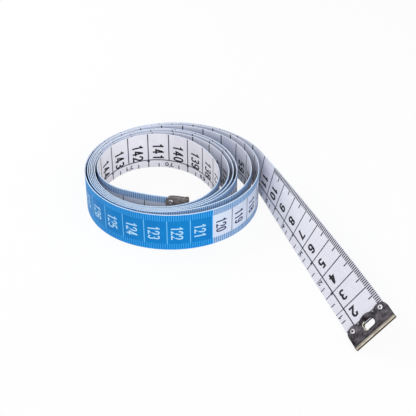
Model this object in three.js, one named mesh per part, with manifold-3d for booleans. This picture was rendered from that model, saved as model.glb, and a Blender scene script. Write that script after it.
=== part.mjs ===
// Tailor's tape measure: a long printed strip standing on edge in a loose coil, with its free end
// led out to the front and leaning over. A folded metal clip is riveted on each end of the strip.
// Millimetres, +Z up. The strip stands on the plane z = 0, with the middle of the outline at x = y = 0.
import * as THREE from "three";
import { mergeVertices } from "three/addons/utils/BufferGeometryUtils.js";
import Module from "manifold-3d";

// Tape
const tapeLength = 1500; // from the outer fold of one clip to the outer fold of the other
const tapeWidth = 19;
const tapeThickness = 0.4;

// Coil, seen from above, counted inwards from the place where the free end leaves it
const coilHalfWidth = 39.7; // the outer turn is a little oval
const coilHalfDepth = 36.7;
const exitAngle = THREE.MathUtils.degToRad(15.6); // where the free end leaves the coil
const turnGap = 0.48; // clear space between turns where they lie closest
const openSide = THREE.MathUtils.degToRad(16); // where the turns stand furthest apart
const openSharpness = 2; // how quickly the turns close up again to each side of it
const openGaps = [0, 2.6, 6, 0.8, 1.2, 4, 1.8]; // extra space at the open side, turn by turn

// Inner end: it bends away from the coil, sweeps across inside it and ends straight in its clip, beside
// the turn round it
const innerBendLength = 28;
const innerSweepLength = 18;
const innerEasing = 4.5; // radius of the sweep against that of the bend
const innerClearance = 0.6; // between the clip's rivets and the turn round them, in plan

// Free end: straight in plan, leaning outwards more and more towards its clip
const freeLength = 113.5;
const freeLean = THREE.MathUtils.degToRad(47); // lean from upright at the clip
const leanStart = 150; // distance from the clip at which the lean begins
const leanRounding = 0.22; // share of the lean's run that eases in
const liftRun = 60; // length over which the tape rises to the height of a clip

// Clip: a strip of sheet metal folded round the tape's end
const leafThickness = 0.3;
const clipLength = 10.5; // fold to the top of the middle arch
const clipOverhangLow = 0.3; // the clip is wider than the tape
const clipOverhangHigh = 0.7;
const foldBulge = 0.33; // the fold is rolled fuller than the two leaves
const clampClearance = 0.12; // between tape and leaf
const tapeEndClearance = 0.3; // between the tape's cut end and the fold
const gripMargin = 1.5; // flat tape beyond the clip
const lobeRadius = 2.7; // round lobes over the rivets
const cuspDepth = 1.3; // from the top of the middle arch to the cusps beside it
const slotWidth = 5.1; // across the tape
const slotLength = 4; // along the tape
const slotCorner = 1.3;
const slotInset = 5.7; // fold to the slot's middle
const tapeSlotClearance = 0.25; // the tape is punched a little larger than the leaves

// Rivets: hollow, with a rolled head on each side
const rivetSetback = 2.5; // top of the middle arch to rivet
const rivetEdge = 2.8; // clip edge to rivet
const rivetShankRadius = 0.7;
const rivetBore = 0.38;
const rivetHeadRadius = 1.2;
const rivetHeadHeight = 0.42;
const rivetClearance = 0.12; // round the shank and under the heads

// Facets
const stepsPerTurn = 48;
const freeStep = 6; // length of one facet along the free end
const arcSteps = 8;
const rivetSides = 16;
const rivetRimSteps = 4;
const weldDistance = 1e-4; // corners closer than this are one corner
const halvings = 30; // of the range in which the inner end's bend is sought

const turnPitch = tapeThickness + turnGap;
const leafInner = tapeThickness / 2 + clampClearance;
const leafOuter = leafInner + leafThickness;
const foldRadius = leafOuter + foldBulge;
const clipWidth = clipOverhangLow + tapeWidth + clipOverhangHigh;
const gripLength = clipLength + gripMargin;
const tapeInset = leafThickness + tapeEndClearance;
const rivetInset = clipLength - rivetSetback;
const rivetSeat = leafOuter + rivetClearance;
const rivetTop = rivetSeat + rivetHeadHeight;
const rivetHeights = [rivetEdge - clipOverhangLow, tapeWidth + clipOverhangHigh - rivetEdge];
const clipMiddle = (rivetHeights[0] + rivetHeights[1]) / 2;

const wasm = await Module();
wasm.setup();

function solid(geometry) {
  const bare = geometry.index ? geometry.toNonIndexed() : geometry.clone();
  bare.deleteAttribute("normal");
  bare.deleteAttribute("uv");
  const merged = mergeVertices(bare, weldDistance);
  return new wasm.Manifold(
    new wasm.Mesh({
      numProp: 3,
      vertProperties: merged.attributes.position.array,
      triVerts: new Uint32Array(merged.index.array),
    }),
  );
}

function geometryOf(body) {
  const mesh = body.getMesh();
  const geometry = new THREE.BufferGeometry();
  geometry.setAttribute("position", new THREE.BufferAttribute(mesh.vertProperties, 3));
  geometry.setIndex(new THREE.BufferAttribute(mesh.triVerts, 1));
  geometry.computeVertexNormals();
  return geometry;
}

function cut(geometry, cutters) {
  return geometryOf(cutters.reduce((body, cutter) => body.subtract(solid(cutter)), solid(geometry)));
}

function easeInOut(share) {
  return share * share * (3 - 2 * share);
}

// Extra inward distance at the open side after a number of turns
function openedBy(turn) {
  let sum = 0;
  openGaps.forEach((gap, index) => {
    sum += gap * easeInOut(THREE.MathUtils.clamp(turn - index, 0, 1));
  });
  return sum;
}

// A point of the coil in plan, after a number of turns inwards
function coilPoint(turn) {
  const angle = exitAngle + 2 * Math.PI * turn;
  const meanRadius = (coilHalfWidth + coilHalfDepth) / 2;
  const oval = ((coilHalfWidth - coilHalfDepth) / 2) * Math.cos(2 * angle);
  const nearOpenSide = ((1 + Math.cos(angle - openSide)) / 2) ** openSharpness;
  const radius = meanRadius + oval - turnPitch * turn - nearOpenSide * openedBy(turn);
  return new THREE.Vector2(radius * Math.cos(angle), radius * Math.sin(angle));
}

function coilHeading(turn) {
  const small = 1e-4;
  return coilPoint(turn + small).sub(coilPoint(turn - small)).angle();
}

// The free end in plan as places {along, point, heading}, from its fold to where it leaves the coil
function freeRoute() {
  const exitPoint = coilPoint(0);
  const heading = coilHeading(0);
  const count = Math.ceil((freeLength - gripLength) / freeStep);
  const alongs = [tapeInset];
  for (let i = 0; i < count; i++) {
    alongs.push(THREE.MathUtils.lerp(gripLength, freeLength, i / count));
  }
  return alongs.map((along) => {
    const back = new THREE.Vector2(along - freeLength, 0).rotateAround(new THREE.Vector2(), heading);
    return { along, point: exitPoint.clone().add(back), heading };
  });
}

// The coil in plan, from where the free end leaves it to a distance along the tape
function coilRoute(coilEnd) {
  const places = [];
  let along = freeLength;
  let turn = 0;
  while (along < coilEnd) {
    const point = coilPoint(turn);
    places.push({ along, turn, point, heading: coilHeading(turn) });
    const chord = coilPoint(turn + 1 / stepsPerTurn).distanceTo(point);
    const step = Math.min(chord, coilEnd - along);
    along += step;
    turn += step / chord / stepsPerTurn;
  }
  places.push({ along: coilEnd, turn, point: coilPoint(turn), heading: coilHeading(turn) });
  return places;
}

// The inner end in plan, bent away from the coil by an angle
function innerRoute(start, bendAngle) {
  const places = [start];
  const addArc = (radius, angle) => {
    const from = places[places.length - 1];
    const toCentre = new THREE.Vector2(0, radius).rotateAround(new THREE.Vector2(), from.heading);
    const centre = from.point.clone().add(toCentre);
    for (let i = 1; i <= arcSteps; i++) {
      const turned = (angle * i) / arcSteps;
      places.push({
        along: from.along + radius * turned,
        point: from.point.clone().rotateAround(centre, turned),
        heading: from.heading + turned,
      });
    }
  };
  const bendRadius = innerBendLength / bendAngle;
  const sweepRadius = innerEasing * bendRadius;
  addArc(bendRadius, bendAngle);
  addArc(sweepRadius, innerSweepLength / sweepRadius);
  const last = places[places.length - 1];
  const straight = gripLength - tapeInset;
  const ahead = new THREE.Vector2(straight, 0).rotateAround(new THREE.Vector2(), last.heading);
  places.push({
    along: last.along + straight,
    point: last.point.clone().add(ahead),
    heading: last.heading,
  });
  return places.slice(1);
}

// Space in plan between the inner clip and the turn round it, along lines from the coil's middle
function innerSpace(start, places) {
  const [grip, end] = places.slice(-2);
  const spaces = [grip, end].map(({ point }) => {
    const ahead = THREE.MathUtils.euclideanModulo(point.angle() - start.point.angle(), 2 * Math.PI);
    const turnBeside = start.turn - 1 + ahead / (2 * Math.PI);
    return coilPoint(turnBeside).length() - point.length();
  });
  return Math.min(...spaces) - rivetTop - tapeThickness / 2;
}

// The tape's middle line in plan, with the inner end bent until its clip has its clearance
function tapeRoute() {
  const coil = coilRoute(tapeLength - innerBendLength - innerSweepLength - gripLength);
  const start = coil[coil.length - 1];
  let low = 0;
  let high = Math.PI;
  for (let i = 0; i < halvings; i++) {
    const bendAngle = (low + high) / 2;
    if (innerSpace(start, innerRoute(start, bendAngle)) < innerClearance) {
      low = bendAngle;
    } else {
      high = bendAngle;
    }
  }
  return [...freeRoute(), ...coil, ...innerRoute(start, high)];
}

// Lean from upright at a distance from the free end
function leanAt(along) {
  const run = leanStart - gripLength;
  const share = THREE.MathUtils.clamp((leanStart - along) / run, 0, 1);
  const eased = share < leanRounding ? share ** 2 / (2 * leanRounding) : share - leanRounding / 2;
  return (freeLean * eased) / (1 - leanRounding / 2);
}

// Height of the tape's lower edge: a clip's lower corner touches the ground, and so does the bare tape
function liftAt(along) {
  const lean = leanAt(along);
  const bareTape = (tapeThickness / 2) * Math.sin(lean);
  const clipped = clipOverhangLow * Math.cos(lean) + foldRadius * Math.sin(lean);
  const fromEnd = Math.min(along, tapeLength - along) - gripLength;
  const share = 1 - THREE.MathUtils.clamp(fromEnd / liftRun, 0, 1);
  return THREE.MathUtils.lerp(bareTape, clipped, easeInOut(share));
}

// Place on the route as a frame: along the tape, up its width, and out of its outer face
function tapeFrame({ along, point, heading }) {
  const lean = leanAt(along);
  const forward = new THREE.Vector3(Math.cos(heading), Math.sin(heading), 0);
  const outward = new THREE.Vector3(Math.sin(heading), -Math.cos(heading), 0);
  const up = new THREE.Vector3(0, 0, 1);
  const across = outward.clone().multiplyScalar(Math.sin(lean)).addScaledVector(up, Math.cos(lean));
  const face = outward.clone().multiplyScalar(Math.cos(lean)).addScaledVector(up, -Math.sin(lean));
  return { origin: new THREE.Vector3(point.x, point.y, liftAt(along)), forward, across, face };
}

function tapeCorners(place) {
  const { origin, across, face } = tapeFrame(place);
  const half = tapeThickness / 2;
  return [
    [0, half],
    [tapeWidth, half],
    [tapeWidth, -half],
    [0, -half],
  ].map(([height, side]) => origin.clone().addScaledVector(across, height).addScaledVector(face, side));
}

// One closed strip through the route
function stripGeometry(route) {
  const rings = route.map(tapeCorners);
  const index = [];
  const sides = 4;
  for (let i = 0; i + 1 < rings.length; i++) {
    for (let j = 0; j < sides; j++) {
      const a = i * sides + j;
      const b = i * sides + ((j + 1) % sides);
      index.push(a, b + sides, b, a, a + sides, b + sides);
    }
  }
  const end = (rings.length - 1) * sides;
  index.push(0, 1, 2, 0, 2, 3, end, end + 2, end + 1, end, end + 3, end + 2);
  const geometry = new THREE.BufferGeometry().setFromPoints(rings.flat());
  geometry.setIndex(index);
  return geometry;
}

// Least clear distance between one turn's inner face and the next turn's outer face, on lower corners
function leastGap(route) {
  const nearest = new THREE.Vector3();
  const corners = route.map(tapeCorners);
  let least = Infinity;
  corners.forEach((corner, i) => {
    for (let j = i + stepsPerTurn / 2; j + 1 < corners.length; j++) {
      const segment = new THREE.Line3(corners[j][0], corners[j + 1][0]);
      segment.closestPointToPoint(corner[3], true, nearest);
      least = Math.min(least, nearest.distanceTo(corner[3]));
    }
  });
  return least;
}

// Clip space: x from the outer fold into the tape, y up the tape's width from its lower edge, z out
function clipMatrix(place, towardsTape) {
  const { origin, forward, across } = tapeFrame(place);
  const x = forward.clone().multiplyScalar(towardsTape);
  const fold = origin.clone().addScaledVector(x, -tapeInset);
  return new THREE.Matrix4().makeBasis(x, across, x.clone().cross(across)).setPosition(fold);
}

function foldOutline() {
  const outer = Math.asin(leafOuter / foldRadius);
  const innerRadius = foldRadius - leafThickness;
  const inner = Math.asin(leafInner / innerRadius);
  const reach = clipLength + lobeRadius;
  const outline = new THREE.Shape();
  outline.moveTo(reach, leafOuter);
  outline.absarc(foldRadius, 0, foldRadius, outer, 2 * Math.PI - outer, false);
  outline.lineTo(reach, -leafOuter);
  outline.lineTo(reach, -leafInner);
  outline.absarc(foldRadius, 0, innerRadius, 2 * Math.PI - inner, inner, true);
  outline.lineTo(reach, leafInner);
  outline.closePath();
  return outline;
}

// What is trimmed off the leaves to leave a middle arch between two round lobes
function trimOutline() {
  const cusp = clipLength - cuspDepth;
  const lobeReach = Math.sqrt(lobeRadius ** 2 - (cusp - rivetInset) ** 2);
  const halfArch = clipMiddle - rivetHeights[0] - lobeReach;
  const archRadius = (halfArch ** 2 + cuspDepth ** 2) / (2 * cuspDepth);
  const archAngle = Math.asin(halfArch / archRadius);
  const lobeAngle = Math.atan2(lobeReach, cusp - rivetInset);
  const low = -clipOverhangLow - lobeRadius;
  const high = tapeWidth + clipOverhangHigh + lobeRadius;
  const far = clipLength + 2 * lobeRadius;
  const outline = new THREE.Shape();
  outline.moveTo(far, low);
  outline.lineTo(far, high);
  outline.lineTo(rivetInset, high);
  outline.lineTo(rivetInset, rivetHeights[1] + lobeRadius);
  outline.absarc(rivetInset, rivetHeights[1], lobeRadius, Math.PI / 2, -lobeAngle, true);
  outline.absarc(clipLength - archRadius, clipMiddle, archRadius, archAngle, -archAngle, true);
  outline.absarc(rivetInset, rivetHeights[0], lobeRadius, lobeAngle, -Math.PI / 2, true);
  outline.lineTo(rivetInset, low);
  outline.closePath();
  return outline;
}

function slotOutline(margin) {
  const halfLength = slotLength / 2 + margin;
  const halfWidth = slotWidth / 2 + margin;
  const corner = slotCorner + margin;
  const x = halfLength - corner;
  const y = halfWidth - corner;
  const outline = new THREE.Shape();
  outline.absarc(slotInset + x, clipMiddle + y, corner, 0, Math.PI / 2, false);
  outline.absarc(slotInset - x, clipMiddle + y, corner, Math.PI / 2, Math.PI, false);
  outline.absarc(slotInset - x, clipMiddle - y, corner, Math.PI, 1.5 * Math.PI, false);
  outline.absarc(slotInset + x, clipMiddle - y, corner, 1.5 * Math.PI, 2 * Math.PI, false);
  outline.closePath();
  return outline;
}

function circleOutline(x, y, radius) {
  const outline = new THREE.Shape();
  outline.absarc(x, y, radius, 0, 2 * Math.PI, false);
  return outline;
}

// An outline in clip space pushed right through both leaves
function throughCutter(outline) {
  const depth = 2 * (leafOuter + foldRadius); // clears the leaves on both sides
  const geometry = new THREE.ExtrudeGeometry(outline, {
    depth,
    bevelEnabled: false,
    curveSegments: arcSteps,
  });
  return geometry.translate(0, 0, -depth / 2);
}

function rivetHoles() {
  const radius = rivetShankRadius + rivetClearance;
  return rivetHeights.map((height) => throughCutter(circleOutline(rivetInset, height, radius)));
}

function clipGeometry() {
  const blank = new THREE.ExtrudeGeometry(foldOutline(), {
    depth: clipWidth,
    bevelEnabled: false,
    curveSegments: arcSteps * 2,
  });
  blank.rotateX(Math.PI / 2);
  blank.translate(0, clipWidth - clipOverhangLow, 0);
  return cut(blank, [throughCutter(trimOutline()), throughCutter(slotOutline(0)), ...rivetHoles()]);
}

function rivetGeometry() {
  const rimRadius = rivetHeadRadius - rivetHeadHeight;
  const profile = new THREE.Path();
  profile.moveTo(rivetBore, -rivetTop);
  profile.lineTo(rimRadius, -rivetTop);
  profile.absarc(rimRadius, -rivetSeat, rivetHeadHeight, -Math.PI / 2, 0, false);
  profile.lineTo(rivetShankRadius, -rivetSeat);
  profile.lineTo(rivetShankRadius, rivetSeat);
  profile.lineTo(rivetHeadRadius, rivetSeat);
  profile.absarc(rimRadius, rivetSeat, rivetHeadHeight, 0, Math.PI / 2, false);
  profile.lineTo(rivetBore, rivetTop);
  profile.lineTo(rivetBore, -rivetTop);
  const turned = new THREE.LatheGeometry(profile.getPoints(rivetRimSteps / 2), rivetSides);
  return turned.rotateX(Math.PI / 2);
}

const tapeMaterial = new THREE.MeshStandardMaterial({ color: 0xe6e3ec, roughness: 0.5, metalness: 0 });
const clipMaterial = new THREE.MeshStandardMaterial({ color: 0x3d383f, roughness: 0.35, metalness: 0.9 });
const rivetMaterial = new THREE.MeshStandardMaterial({ color: 0xbdbac2, roughness: 0.3, metalness: 1 });

function tapeMesh(route, matrices) {
  const punches = [throughCutter(slotOutline(tapeSlotClearance)), ...rivetHoles()];
  const cutters = matrices.flatMap((matrix) => punches.map((punch) => punch.clone().applyMatrix4(matrix)));
  const mesh = new THREE.Mesh(cut(stripGeometry(route), cutters), tapeMaterial);
  mesh.name = "tape";
  return mesh;
}

function clipGroup(end, matrix) {
  const group = new THREE.Group();
  matrix.decompose(group.position, group.quaternion, group.scale);
  const clip = new THREE.Mesh(clipGeometry(), clipMaterial);
  clip.name = `clip_${end}`;
  group.add(clip);
  rivetHeights.forEach((height, index) => {
    const rivet = new THREE.Mesh(rivetGeometry(), rivetMaterial);
    rivet.name = `rivet_${end}_${["lower", "upper"][index]}`;
    rivet.position.set(rivetInset, height, 0);
    group.add(rivet);
  });
  return group;
}

const route = tapeRoute();
console.log(`least gap of the coiled tape to itself: ${leastGap(route).toFixed(2)} mm`);

const freeMatrix = clipMatrix(route[0], 1);
const innerMatrix = clipMatrix(route[route.length - 1], -1);
const tapeMeasure = new THREE.Group();
tapeMeasure.name = "tape_measure";
const body = new THREE.Group();
body.add(tapeMesh(route, [freeMatrix, innerMatrix]));
body.add(clipGroup("free_end", freeMatrix));
body.add(clipGroup("coil_end", innerMatrix));
tapeMeasure.add(body);

const box = new THREE.Box3().setFromObject(body, true);
const middle = box.getCenter(new THREE.Vector3());
body.position.set(-middle.x, -middle.y, -box.min.z);

export default tapeMeasure;
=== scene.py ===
import math
import bmesh
import bpy
import mathutils
import numpy as np
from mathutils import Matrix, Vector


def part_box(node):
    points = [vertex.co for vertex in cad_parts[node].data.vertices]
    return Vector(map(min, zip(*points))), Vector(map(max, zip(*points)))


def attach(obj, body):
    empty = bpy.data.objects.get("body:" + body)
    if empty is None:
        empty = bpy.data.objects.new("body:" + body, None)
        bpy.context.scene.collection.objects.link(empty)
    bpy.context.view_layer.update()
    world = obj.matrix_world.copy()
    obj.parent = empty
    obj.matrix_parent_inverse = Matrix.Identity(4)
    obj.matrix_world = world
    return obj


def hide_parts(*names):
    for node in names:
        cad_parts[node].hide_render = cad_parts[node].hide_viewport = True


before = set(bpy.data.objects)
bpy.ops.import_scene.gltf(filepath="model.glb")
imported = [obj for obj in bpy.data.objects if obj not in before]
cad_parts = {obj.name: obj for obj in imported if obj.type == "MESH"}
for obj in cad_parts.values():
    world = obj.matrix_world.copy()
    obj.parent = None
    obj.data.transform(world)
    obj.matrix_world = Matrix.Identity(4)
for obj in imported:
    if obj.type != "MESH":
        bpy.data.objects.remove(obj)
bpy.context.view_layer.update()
scene = bpy.context.scene
scene.view_settings.view_transform = "Standard"
print("frame loaded:", ", ".join(sorted(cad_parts)))

# All lengths below are in millimetres and turned to metres when a mesh is made.
# s runs along the tape from the free clip's fold, t up its width, h out of its outer face.
mm = 0.001
centimetre = 10.0
ribbon = {
    "length": 1500.0, "width": 19.0, "thickness": 0.4,
    "halfWidth": 39.7, "halfDepth": 36.7, "exitAngle": 15.6, "pitch": 0.88,
    "openSide": 16.0, "openSharpness": 2, "openGaps": (0, 2.6, 6, 0.8, 1.2, 4, 1.8),
    # where the turns have settled: (side, sharpness, how much each gap widened there)
    "settled": ((190.0, 2, (0.4, -0.04, -0.16, -0.15, -0.15, 0.1)),
                (108.0, 5, (-0.3, -0.7, 0.4, -0.2, 0.7, 0.1)),
                (292.0, 9, (1.8, -1.1, -0.25, -0.2, -0.25, 0.0))),
    "bendAngle": 77.3151, "bendLength": 28.0, "sweepLength": 18.0, "sweepEasing": 4.5,
    "freeLength": 113.5, "freeLean": 47.0, "leanStart": 150.0, "leanRounding": 0.22,
    "gripLength": 12.0, "endInset": 0.6, "liftRun": 60.0,
    # painted shade on the free end, where the lamps light it most: the coat is darkened fully up to the
    # first distance, and not at all from the second
    "endShade": (35.0, 95.0),
    # how finely the route is stepped
    "stepsPerTurn": 48, "fineSteps": 8, "mostTurns": 8, "smallTurn": 1e-4,
    "freePoints": 40, "bendPoints": 60, "sweepPoints": 50, "gripPoints": 20,
    # distance between the mesh's rings, and the least one beside a hole
    "ringStep": 1.0, "leastStep": 0.3,
    # the outer face's tick bands run from here to the edges
    "bandEdges": (3.4, 15.6),
    # (in from the edge, half thickness there)
    "edgeRound": ((0.0, 0.07), (0.03, 0.15), (0.12, 0.2), (0.25, 0.2)),
}
clip = {
    "foldRadius": 0.95, "leafInner": 0.32, "leafOuter": 0.62, "leafStart": 1.5,
    "overhangLow": 0.3, "overhangHigh": 0.7, "length": 10.5, "cuspDepth": 1.7,
    "lobeRadius": 3.3, "lobeLead": 0.6, "archRise": 0.3,
    "rivetInset": 8.0, "rivetHeights": (2.5, 16.9), "rivetHole": 0.82,
    "slotMiddle": (5.7, 9.7), "slotAcross": 5.1, "slotAlong": 4.0, "slotCorner": 1.3,
    "slotClearance": 0.08, "leafBevel": 0.06, "bevelSteps": 2, "weld": 1e-4,
    "lobePoints": 16, "archPoints": 19, "cornerPoints": 9, "holePoints": 28,
    # the rolled fold: chamfer at its ends, rings between, and how far round its painted-shade nose and
    # painted-highlight shoulders reach
    "foldPoints": 40, "foldChamfer": 0.05, "foldMargin": 0.4, "foldRings": 9,
    "noseShare": 0.1, "shoulderShare": 0.32,
    # the bead round the slot, with a painted highlight below a height
    "lipRadius": 0.2, "lipInset": 0.14, "lipSides": 10, "lipHighlightBelow": 8.5,
}


def ease(x):
    # smooth step: three x squared less two x cubed, held between 0 and 1
    x = np.clip(x, 0.0, 1.0)
    return x * x * (3.0 - 2.0 * x)


def facing(angle, side):
    # raised cosine: 1 towards a side given in degrees, 0 opposite it
    return (1 + np.cos(angle - math.radians(side))) / 2


def passed(turn, gaps):
    # sum of the gaps gone by after a number of turns, each eased in over one turn
    return sum(gap * ease(turn - index) for index, gap in enumerate(gaps))


def coilPoint(turn, slid=True):
    # oval spiral: mean radius plus an oval term in twice the angle, less the pitch for each turn,
    # less the loose room that opens on one side, a raised cosine times the gaps passed so far,
    # less small slides on three other sides, each a raised cosine times the widenings passed so far
    angle = math.radians(ribbon["exitAngle"]) + 2 * np.pi * turn
    mean = (ribbon["halfWidth"] + ribbon["halfDepth"]) / 2
    oval = (ribbon["halfWidth"] - ribbon["halfDepth"]) / 2
    radius = mean + oval * np.cos(2 * angle) - ribbon["pitch"] * turn
    beside = facing(angle, ribbon["openSide"]) ** ribbon["openSharpness"]
    radius = radius - beside * passed(turn, ribbon["openGaps"])
    for side, sharpness, steps in ribbon["settled"] if slid else ():
        sinceSide = turn - (side - ribbon["exitAngle"]) / 360
        radius = radius - facing(angle, side) ** sharpness * passed(sinceSide, steps)
    return np.stack([radius * np.cos(angle), radius * np.sin(angle)], axis=-1)


def coilHeading(turn):
    # direction of travel: a small central difference of the spiral
    step = coilPoint(turn + ribbon["smallTurn"]) - coilPoint(turn - ribbon["smallTurn"])
    return np.arctan2(step[..., 1], step[..., 0])


def arcRun(start, heading, radius, distance):
    # a left-hand arc: start plus radius times how much the heading's sine and cosine have changed
    swept = heading + distance / radius
    x = start[0] + radius * (np.sin(swept) - np.sin(heading))
    y = start[1] - radius * (np.cos(swept) - np.cos(heading))
    return np.stack([x, y], axis=-1), swept


def straightRun(start, heading, distance):
    # a straight line: start plus the distance times the heading's cosine and sine
    return start + distance[:, None] * np.array([math.cos(heading), math.sin(heading)])


def routeTable():
    # the route as s, (x, y) and heading: straight free end, coil, bend, wider sweep, straight inner end;
    # the chords of the coil before it settled say how far along the tape each turn lies
    r = ribbon
    steps = np.arange(0, r["mostTurns"] * r["stepsPerTurn"] + 1) / r["stepsPerTurn"]
    chords = np.linalg.norm(np.diff(coilPoint(steps, slid=False), axis=0), axis=1)
    reached = r["freeLength"] + np.concatenate([[0.0], np.cumsum(chords)])
    bendS = r["length"] - r["bendLength"] - r["sweepLength"] - r["gripLength"]
    endTurn = float(np.interp(bendS, reached, steps))
    turn = np.append(np.arange(0, endTurn, 1.0 / (r["stepsPerTurn"] * r["fineSteps"])), endTurn)
    coilS = np.interp(turn, steps, reached)
    coilXY = coilPoint(turn)
    coilH = np.unwrap(coilHeading(turn))
    freeS = np.linspace(0.0, r["freeLength"], r["freePoints"])[:-1]
    freeXY = straightRun(coilXY[0], coilH[0], freeS - r["freeLength"])
    bendRadius = r["bendLength"] / math.radians(r["bendAngle"])
    bend = np.linspace(0, r["bendLength"], r["bendPoints"])[1:]
    bendXY, bendH = arcRun(coilXY[-1], coilH[-1], bendRadius, bend)
    sweep = np.linspace(0, r["sweepLength"], r["sweepPoints"])[1:]
    sweepXY, sweepH = arcRun(bendXY[-1], bendH[-1], bendRadius * r["sweepEasing"], sweep)
    grip = np.linspace(0, r["gripLength"], r["gripPoints"])[1:]
    gripXY = straightRun(sweepXY[-1], sweepH[-1], grip)
    gripS = r["length"] - r["gripLength"]
    s = np.concatenate([freeS, coilS, bendS + bend, gripS - r["sweepLength"] + sweep, gripS + grip])
    xy = np.concatenate([freeXY, coilXY, bendXY, sweepXY, gripXY])
    heading = np.concatenate([np.full(len(freeS), coilH[0]), coilH, bendH, sweepH,
                              np.full(len(grip), sweepH[-1])])
    return s, xy, heading


routeS, routeXY, routeHeading = routeTable()


def tapeFrame(s):
    # at each s: the standing point, the run, the width direction, leant over near the free end,
    # and the outer face's normal
    r = ribbon
    heading = np.interp(s, routeS, routeHeading)
    x = np.interp(s, routeS, routeXY[:, 0])
    y = np.interp(s, routeS, routeXY[:, 1])
    share = np.clip((r["leanStart"] - s) / (r["leanStart"] - r["gripLength"]), 0, 1)
    rounding = r["leanRounding"]
    eased = np.where(share < rounding, share ** 2 / (2 * rounding), share - rounding / 2)
    lean = math.radians(r["freeLean"]) * eased / (1 - rounding / 2)
    fromEnd = np.minimum(s, r["length"] - s)
    raised = ease(1 - np.clip((fromEnd - r["gripLength"]) / r["liftRun"], 0, 1))
    flatLift = r["thickness"] / 2 * np.sin(lean)
    clipLift = clip["overhangLow"] * np.cos(lean) + clip["foldRadius"] * np.sin(lean)
    lift = flatLift + (clipLift - flatLift) * raised
    zero = np.zeros_like(heading)
    ahead = np.stack([np.cos(heading), np.sin(heading), zero], axis=-1)
    outward = np.stack([np.sin(heading), -np.cos(heading), zero], axis=-1)
    upright = np.array([0.0, 0.0, 1.0])
    sine, cosine = np.sin(lean)[..., None], np.cos(lean)[..., None]
    return (np.stack([x, y, lift], axis=-1), ahead,
            outward * sine + upright * cosine, outward * cosine - upright * sine)


def onTape(s, t, h):
    # a point of the tape: standing point plus t up the width plus h out of the outer face
    origin, _, across, face = tapeFrame(np.asarray(s, float))
    return origin + across * np.asarray(t, float)[..., None] + face * np.asarray(h, float)[..., None]


# the CAD tape's own box fixes the shift: its greatest x and least y are corners of the free end
cadTape = np.array(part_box("tape")) / mm
halfThick = ribbon["thickness"] / 2
endCorners = onTape(np.full(4, ribbon["endInset"]), np.array([0, 0, ribbon["width"], ribbon["width"]]),
                    np.array([-halfThick, halfThick, -halfThick, halfThick]))
shift = np.array([cadTape[1][0] - endCorners[:, 0].max(), cadTape[0][1] - endCorners[:, 1].min(), 0.0])
print("route laid:", len(routeS), "points, shift", np.round(shift, 3))


def makePiece(name, points, faces, materials, faceSlots=None, uv=None, smooth=True):
    # points in millimetres about the coil's middle become a mesh in metres in the CAD's frame
    mesh = bpy.data.meshes.new(name)
    mesh.from_pydata(((points + shift) * mm).tolist(), [], [list(face) for face in faces])
    for material in materials:
        mesh.materials.append(material)
    if faceSlots is not None:
        mesh.polygons.foreach_set("material_index", np.asarray(faceSlots, np.int32))
    mesh.polygons.foreach_set("use_smooth", np.full(len(mesh.polygons), smooth))
    if uv is not None:
        layer = mesh.uv_layers.new(name="along")
        corner = np.empty(len(mesh.loops), np.int32)
        mesh.loops.foreach_get("vertex_index", corner)
        layer.data.foreach_set("uv", (uv[corner] * mm).astype(np.float32).ravel())
    mesh.update()
    piece = bpy.data.objects.new(name, mesh)
    scene.collection.objects.link(piece)
    return piece


def finishPiece(piece, slotName, *nodes):
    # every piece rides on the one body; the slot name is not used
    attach(piece, "root")
    if nodes:
        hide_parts(*nodes)
    return piece


def ringQuads(rows, columns, closed):
    # quads between neighbouring rings, numbered ring by ring; where closed, the last joins the first
    i, j = np.meshgrid(np.arange(rows if closed else rows - 1), np.arange(columns), indexing="ij")
    here, beyond = i * columns, (i + 1) % rows * columns
    nextJ = (j + 1) % columns
    return np.stack([here + j, beyond + j, beyond + nextJ, here + nextJ], axis=-1).reshape(-1, 4)


def joinShapes(shapes):
    # several (points, faces) laid end to end, with the faces' point numbers moved on
    counts = np.cumsum([0] + [len(points) for points, _ in shapes[:-1]])
    return (np.concatenate([points for points, _ in shapes]),
            np.concatenate([faces + count for (_, faces), count in zip(shapes, counts)]))


# shader node groups, shared by the materials
def newGroup(name, inputs, outputs):
    # a group with a vector input, and named value inputs and outputs
    group = bpy.data.node_groups.new(name, "ShaderNodeTree")
    group.interface.new_socket(name="Vector", in_out="INPUT", socket_type="NodeSocketVector")
    for way, labels in (("INPUT", inputs), ("OUTPUT", outputs)):
        for label in labels:
            group.interface.new_socket(name=label, in_out=way, socket_type="NodeSocketFloat")
    return group, group.nodes.new("NodeGroupInput"), group.nodes.new("NodeGroupOutput")


def setInput(tree, socket, value):
    # a plain number is set on the socket, and another socket is linked to it
    if isinstance(value, (int, float)):
        socket.default_value = value
    else:
        tree.links.new(value, socket)


def addMath(tree, operation, *values, clamp=False):
    # one Math node whose inputs are sockets or plain numbers
    node = tree.nodes.new("ShaderNodeMath")
    node.operation = operation
    node.use_clamp = clamp
    for socket, value in zip(node.inputs, values):
        setInput(tree, socket, value)
    return node.outputs[0]


def addNoise(tree, vector, scale, detail, rough):
    # a noise texture on a vector socket; the scale is a number or a socket
    node = tree.nodes.new("ShaderNodeTexNoise")
    for label, value in (("Vector", vector), ("Scale", scale), ("Detail", detail), ("Roughness", rough)):
        setInput(tree, node.inputs[label], value)
    return node.outputs["Fac"]


def addRange(tree, value, low, high, newLow=0.0, newHigh=1.0):
    # a clamped map range
    node = tree.nodes.new("ShaderNodeMapRange")
    tree.links.new(value, node.inputs["Value"])
    for label, number in (("From Min", low), ("From Max", high), ("To Min", newLow), ("To Max", newHigh)):
        node.inputs[label].default_value = number
    return node.outputs["Result"]


def linear(colour):
    # a colour written in 0 to 255 sRGB, turned to linear light
    c = np.asarray(colour, float) / 255
    return tuple(float(x) for x in np.where(c <= 0.04045, c / 12.92, ((c + 0.055) / 1.055) ** 2.4))


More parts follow.
